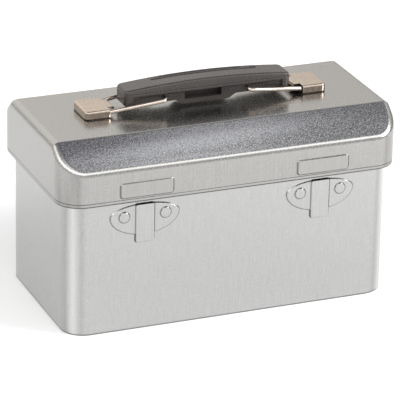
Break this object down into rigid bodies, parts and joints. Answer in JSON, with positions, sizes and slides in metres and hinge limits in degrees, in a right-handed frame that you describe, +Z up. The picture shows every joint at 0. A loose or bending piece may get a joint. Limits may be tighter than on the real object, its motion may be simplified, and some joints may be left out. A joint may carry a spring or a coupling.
{
  "type": "sewing box",
  "caption": "Tin sewing box with a hinged sloped lid that lifts a cantilever tray, a lower tray sliding on rails, and a folding handle on two wire loops.",
  "frame": {"origin": "middle of the underside, on the surface that the box stands on", "axes": "+X to the right along the box's length, +Y to the hinges at the back, +Z up"},
  "size_m": [0.21, 0.1126, 0.1316],
  "materials": {
    "tinplate": "satin tinplate with a fine grain",
    "tray_lacquer": "satin lacquered tinplate",
    "divider_board": "matt moulded polystyrene",
    "nickel": "bright nickel plate",
    "zinc_steel": "zinc-plated steel",
    "grip_plastic": "semi-gloss moulded plastic"
  },
  "bodies": {
    "box": {"body_shell": "tinplate", "base_panel": "tinplate", "left_hinge_body_leaf": "zinc_steel", "right_hinge_body_leaf": "zinc_steel", "left_hinge_pin": "zinc_steel", "right_hinge_pin": "zinc_steel", "left_pivot_plate": "zinc_steel", "right_pivot_plate": "zinc_steel", "left_rail": "zinc_steel", "right_rail": "zinc_steel", "body_link_rivets": "zinc_steel"},
    "lid": {"lid_shell": "tinplate", "left_hinge_lid_leaf": "zinc_steel", "right_hinge_lid_leaf": "zinc_steel", "left_lid_bracket": "zinc_steel", "right_lid_bracket": "zinc_steel", "left_cap": "nickel", "right_cap": "nickel", "left_cap_backing_plate": "zinc_steel", "right_cap_backing_plate": "zinc_steel"},
    "upper_tray": {"upper_tray": "tray_lacquer", "upper_long_divider": "divider_board", "upper_front_dividers": "divider_board", "upper_rear_dividers": "divider_board", "tray_lid_rivets": "zinc_steel", "tray_link_rivets": "zinc_steel"},
    "link_arms": {"left_link_arm": "zinc_steel", "right_link_arm": "zinc_steel"},
    "lower_tray": {"lower_tray": "tray_lacquer", "lower_dividers": "divider_board"},
    "grip": {"grip_cover": "grip_plastic", "grip_core": "grip_plastic", "grip_screws": "zinc_steel"},
    "left_loop": {"left_wire_loop": "nickel"},
    "right_loop": {"right_wire_loop": "nickel"}
  },
  "joints": [
    {"name": "lid_hinge", "type": "hinge", "parent": "box", "child": "lid", "pos_m": [0, 0.0541, 0.0817], "axis": [-1, 0, 0], "range_deg": [0, 110]},
    {"name": "upper_tray_pivot", "type": "hinge", "parent": "lid", "child": "upper_tray", "pos_m": [0, 0.008, 0.088], "axis": [1, 0, 0], "range_deg": [0, 110]},
    {"name": "link_arm_pivot", "type": "hinge", "parent": "box", "child": "link_arms", "pos_m": [0, 0.02, 0.07], "axis": [-1, 0, 0], "range_deg": [0, 110]},
    {"name": "lower_tray_slide", "type": "slide", "parent": "box", "child": "lower_tray", "axis": [0, -1, 0], "range_m": [0, 0.05]},
    {"name": "grip_lift", "type": "slide", "parent": "lid", "child": "grip", "axis": [0, 0, 1], "range_m": [0, 0.018]},
    {"name": "left_loop_swing", "type": "hinge", "parent": "grip", "child": "left_loop", "pos_m": [-0.026, 0, 0.1228], "axis": [0, -1, 0], "range_deg": [0, 27.8]},
    {"name": "right_loop_swing", "type": "hinge", "parent": "grip", "child": "right_loop", "pos_m": [0.026, 0, 0.1228], "axis": [0, 1, 0], "range_deg": [0, 27.8]}
  ],
  "couplings": [
    {"joint": "upper_tray_pivot", "follows": "lid_hinge", "ratio": 1},
    {"joint": "link_arm_pivot", "follows": "lid_hinge", "ratio": 1},
    {"joint": "left_loop_swing", "follows": "grip_lift", "rad_per_m": 26.863},
    {"joint": "right_loop_swing", "follows": "grip_lift", "rad_per_m": 26.863}
  ]
}
